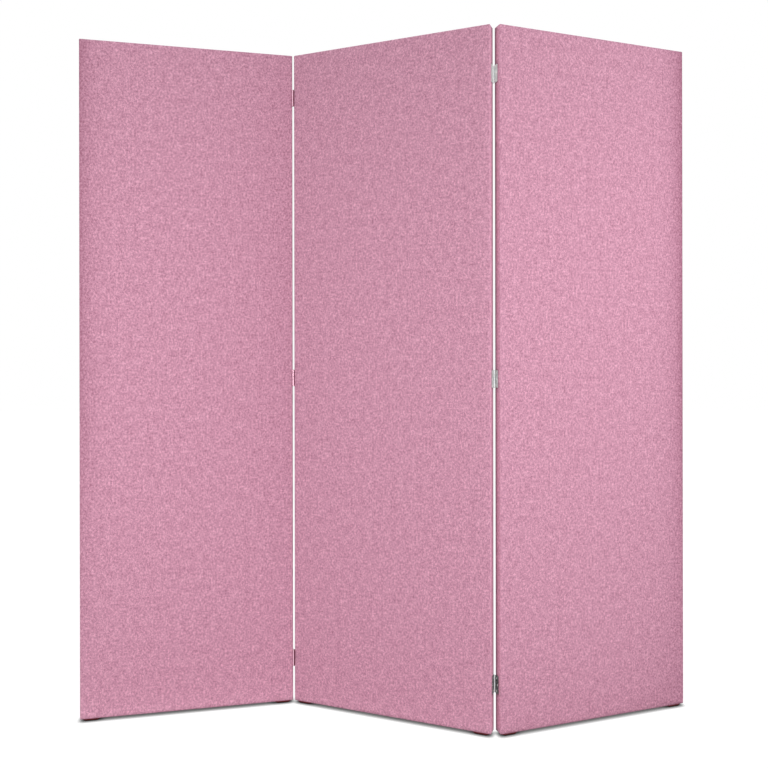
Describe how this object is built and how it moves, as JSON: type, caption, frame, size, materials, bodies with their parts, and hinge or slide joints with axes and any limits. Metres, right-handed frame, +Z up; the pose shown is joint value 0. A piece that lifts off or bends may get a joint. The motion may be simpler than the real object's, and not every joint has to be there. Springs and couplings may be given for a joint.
{
  "type": "folding room divider",
  "caption": "Free-standing folding room divider: tall flat upholstered panels joined edge to edge by metal butt hinges, on low plastic glides.",
  "frame": {"origin": "on the floor, under the middle of the divider as it stands in its zigzag", "axes": "+Z up, +X to the right along the row of panels as seen from the front, +Y from the front to the back"},
  "size_m": [1.4542, 0.2144, 1.6058],
  "materials": {
    "wool_cloth": "matte",
    "wadding": "matte",
    "frame_timber": "matte",
    "soft_board": "matte",
    "plated_steel": "satin",
    "glide_plastic": "matte"
  },
  "bodies": {
    "centre_panel": {"centre_panel_cover": "wool_cloth", "centre_panel_front_pad": "wadding", "centre_panel_back_pad": "wadding", "centre_panel_left_stile": "frame_timber", "centre_panel_right_stile": "frame_timber", "centre_panel_bottom_rail": "frame_timber", "centre_panel_middle_rail": "frame_timber", "centre_panel_top_rail": "frame_timber", "centre_panel_lower_core": "soft_board", "centre_panel_upper_core": "soft_board", "centre_panel_left_glide": "glide_plastic", "centre_panel_right_glide": "glide_plastic", "centre_panel_left_glide_screw": "plated_steel", "centre_panel_right_glide_screw": "plated_steel", "left_lower_hinge_centre_leaf": "plated_steel", "left_middle_hinge_centre_leaf": "plated_steel", "left_upper_hinge_centre_leaf": "plated_steel", "right_lower_hinge_centre_leaf": "plated_steel", "right_middle_hinge_centre_leaf": "plated_steel", "right_upper_hinge_centre_leaf": "plated_steel", "left_lower_hinge_pin": "plated_steel", "left_middle_hinge_pin": "plated_steel", "left_upper_hinge_pin": "plated_steel", "right_lower_hinge_pin": "plated_steel", "right_middle_hinge_pin": "plated_steel", "right_upper_hinge_pin": "plated_steel"},
    "left_panel": {"left_panel_cover": "wool_cloth", "left_panel_front_pad": "wadding", "left_panel_back_pad": "wadding", "left_panel_left_stile": "frame_timber", "left_panel_right_stile": "frame_timber", "left_panel_bottom_rail": "frame_timber", "left_panel_middle_rail": "frame_timber", "left_panel_top_rail": "frame_timber", "left_panel_lower_core": "soft_board", "left_panel_upper_core": "soft_board", "left_panel_left_glide": "glide_plastic", "left_panel_right_glide": "glide_plastic", "left_panel_left_glide_screw": "plated_steel", "left_panel_right_glide_screw": "plated_steel", "left_lower_hinge_side_leaf": "plated_steel", "left_middle_hinge_side_leaf": "plated_steel", "left_upper_hinge_side_leaf": "plated_steel"},
    "right_panel": {"right_panel_cover": "wool_cloth", "right_panel_front_pad": "wadding", "right_panel_back_pad": "wadding", "right_panel_left_stile": "frame_timber", "right_panel_right_stile": "frame_timber", "right_panel_bottom_rail": "frame_timber", "right_panel_middle_rail": "frame_timber", "right_panel_top_rail": "frame_timber", "right_panel_lower_core": "soft_board", "right_panel_upper_core": "soft_board", "right_panel_left_glide": "glide_plastic", "right_panel_right_glide": "glide_plastic", "right_panel_left_glide_screw": "plated_steel", "right_panel_right_glide_screw": "plated_steel", "right_lower_hinge_side_leaf": "plated_steel", "right_middle_hinge_side_leaf": "plated_steel", "right_upper_hinge_side_leaf": "plated_steel"}
  },
  "joints": [
    {"name": "left_fold", "type": "hinge", "parent": "centre_panel", "child": "left_panel", "pos_m": [-0.23201, 0.0794, 0.8058], "axis": [0, 0, 1], "range_deg": [-34.6, 145.4]},
    {"name": "right_fold", "type": "hinge", "parent": "centre_panel", "child": "right_panel", "pos_m": [0.2452, -0.08062, 0.8058], "axis": [0, 0, 1], "range_deg": [-41.4, 138.6]}
  ]
}
